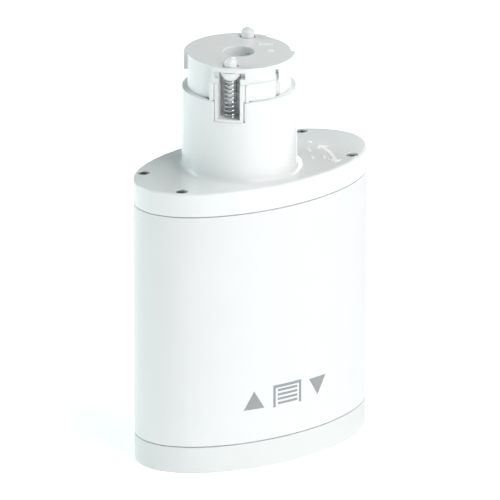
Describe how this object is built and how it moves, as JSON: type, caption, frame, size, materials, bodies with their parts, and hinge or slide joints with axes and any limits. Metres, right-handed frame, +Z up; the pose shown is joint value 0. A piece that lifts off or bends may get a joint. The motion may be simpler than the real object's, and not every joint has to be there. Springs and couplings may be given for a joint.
{
  "type": "plug-in drive motor for a shutter or curtain track",
  "caption": "Oval white motor housing with a round bayonet neck on top, spring-loaded locking pins, a recessed drive socket and inlets underneath.",
  "frame": {"origin": "centre of the oval base, on the face that it stands on", "axes": "+Z up along the neck; +X along the oval's long axis, away from the end the neck is nearer; +Y across it"},
  "size_m": [0.106, 0.0594, 0.17],
  "materials": {
    "white_gloss": "glossy moulded white",
    "white_satin": "satin moulded white",
    "painted_sleeve": "white powder coat on extruded aluminium",
    "coupling_white": "moulded engineering plastic",
    "screw_steel": "blackened steel",
    "spring_steel": "bright wire",
    "bearing_steel": "ground steel",
    "gear_plastic": "natural acetal",
    "gear_steel": "sintered steel",
    "can_steel": "zinc plated",
    "magnet": "sintered ferrite",
    "copper": "enamelled copper",
    "brass": "bright",
    "carbon": "pressed carbon",
    "black_plastic": "fine moulded texture",
    "rubber": "matt",
    "board": "green solder mask",
    "ferrite": "laminated iron, varnished",
    "lead": "red insulation",
    "clear": "clear moulded"
  },
  "bodies": {
    "housing": {"body_sleeve": "painted_sleeve", "top_cap": "white_gloss", "base_cap": "white_satin", "chassis": "black_plastic", "main_board": "board", "transformer": "ferrite", "main_capacitor": "black_plastic", "connector_board": "board", "power_inlet": "black_plastic", "inlet_pin_1": "brass", "inlet_pin_2": "brass", "control_socket": "black_plastic", "setup_switch": "black_plastic", "status_light_pipe": "clear", "motor_lead": "lead", "cap_screw_1": "screw_steel", "cap_screw_2": "screw_steel", "cap_screw_3": "screw_steel", "cap_screw_4": "screw_steel", "base_screw_1": "screw_steel", "base_screw_2": "screw_steel", "base_screw_3": "screw_steel", "base_screw_4": "screw_steel", "coupling_head": "coupling_white", "pin_spring_a": "spring_steel", "pin_spring_b": "spring_steel", "bearing_outer_race": "bearing_steel", "ring_gear": "gear_plastic", "gearbox_base": "gear_steel", "gearbox_cover": "gear_plastic", "motor_can": "can_steel", "motor_magnet_1": "magnet", "motor_magnet_2": "magnet", "motor_brush_1": "carbon", "motor_brush_2": "carbon", "motor_end_cap": "black_plastic", "damper_lower": "rubber", "damper_upper": "rubber"},
    "output": {"output_coupling": "gear_steel", "bearing_inner_race": "bearing_steel", "retaining_ring": "spring_steel", "output_carrier": "gear_steel"},
    "bearing_cage": {"bearing_ball_cage": "brass"},
    "input_stage": {"input_carrier": "gear_steel"},
    "rotor": {"motor_shaft": "bearing_steel", "motor_pinion": "brass", "armature_core": "can_steel", "armature_winding": "copper", "commutator": "copper", "encoder_magnet": "magnet"},
    "locking_pin_a": {"locking_pin_a": "white_gloss"},
    "locking_pin_b": {"locking_pin_b": "white_gloss"},
    "setup_button": {"setup_button": "coupling_white"},
    "input_planet_1": {"input_planet_1": "gear_plastic"},
    "input_planet_2": {"input_planet_2": "gear_plastic"},
    "input_planet_3": {"input_planet_3": "gear_plastic"},
    "output_planet_1": {"output_planet_1": "gear_plastic"},
    "output_planet_2": {"output_planet_2": "gear_plastic"},
    "output_planet_3": {"output_planet_3": "gear_plastic"}
  },
  "joints": [
    {"name": "output_turn", "type": "hinge", "parent": "housing", "child": "output", "pos_m": [-0.0055, 0, 0.1595], "axis": [0, 0, 1], "continuous": true},
    {"name": "bearing_cage_turn", "type": "hinge", "parent": "housing", "child": "bearing_cage", "pos_m": [-0.0055, 0, 0.1466], "axis": [0, 0, 1], "continuous": true},
    {"name": "input_stage_turn", "type": "hinge", "parent": "housing", "child": "input_stage", "pos_m": [-0.0055, 0, 0.12], "axis": [0, 0, 1], "continuous": true},
    {"name": "rotor_turn", "type": "hinge", "parent": "housing", "child": "rotor", "pos_m": [-0.0055, 0, 0.08], "axis": [0, 0, 1], "continuous": true},
    {"name": "output_planet_1_turn", "type": "hinge", "parent": "output", "child": "output_planet_1", "pos_m": [0.0053, 0, 0.127], "axis": [0, 0, 1], "continuous": true},
    {"name": "output_planet_2_turn", "type": "hinge", "parent": "output", "child": "output_planet_2", "pos_m": [-0.0109, 0.00935, 0.127], "axis": [0, 0, 1], "continuous": true},
    {"name": "output_planet_3_turn", "type": "hinge", "parent": "output", "child": "output_planet_3", "pos_m": [-0.0109, -0.00935, 0.127], "axis": [0, 0, 1], "continuous": true},
    {"name": "input_planet_1_turn", "type": "hinge", "parent": "input_stage", "child": "input_planet_1", "pos_m": [0.0053, 0, 0.115], "axis": [0, 0, 1], "continuous": true},
    {"name": "input_planet_2_turn", "type": "hinge", "parent": "input_stage", "child": "input_planet_2", "pos_m": [-0.0109, 0.00935, 0.115], "axis": [0, 0, 1], "continuous": true},
    {"name": "input_planet_3_turn", "type": "hinge", "parent": "input_stage", "child": "input_planet_3", "pos_m": [-0.0109, -0.00935, 0.115], "axis": [0, 0, 1], "continuous": true},
    {"name": "locking_pin_a_press", "type": "slide", "parent": "housing", "child": "locking_pin_a", "axis": [0, 0, -1], "range_m": [0, 0.0038], "stiffness_N_per_m": 400, "springref_m": -0.004, "deforming": ["pin_spring_a"]},
    {"name": "locking_pin_b_press", "type": "slide", "parent": "housing", "child": "locking_pin_b", "axis": [0, 0, -1], "range_m": [0, 0.0038], "stiffness_N_per_m": 400, "springref_m": -0.004, "deforming": ["pin_spring_b"]},
    {"name": "setup_button_press", "type": "slide", "parent": "housing", "child": "setup_button", "axis": [0, 0, 1], "range_m": [0, 0.001], "stiffness_N_per_m": 600, "springref_m": -0.0015}
  ],
  "couplings": [
    {"joint": "bearing_cage_turn", "follows": "output_turn", "ratio": 0.38461},
    {"joint": "input_stage_turn", "follows": "output_turn", "ratio": 4.5},
    {"joint": "rotor_turn", "follows": "output_turn", "ratio": 20.25},
    {"joint": "output_planet_1_turn", "follows": "output_turn", "ratio": -2.8},
    {"joint": "output_planet_2_turn", "follows": "output_turn", "ratio": -2.8},
    {"joint": "output_planet_3_turn", "follows": "output_turn", "ratio": -2.8},
    {"joint": "input_planet_1_turn", "follows": "output_turn", "ratio": -12.6},
    {"joint": "input_planet_2_turn", "follows": "output_turn", "ratio": -12.6},
    {"joint": "input_planet_3_turn", "follows": "output_turn", "ratio": -12.6}
  ]
}
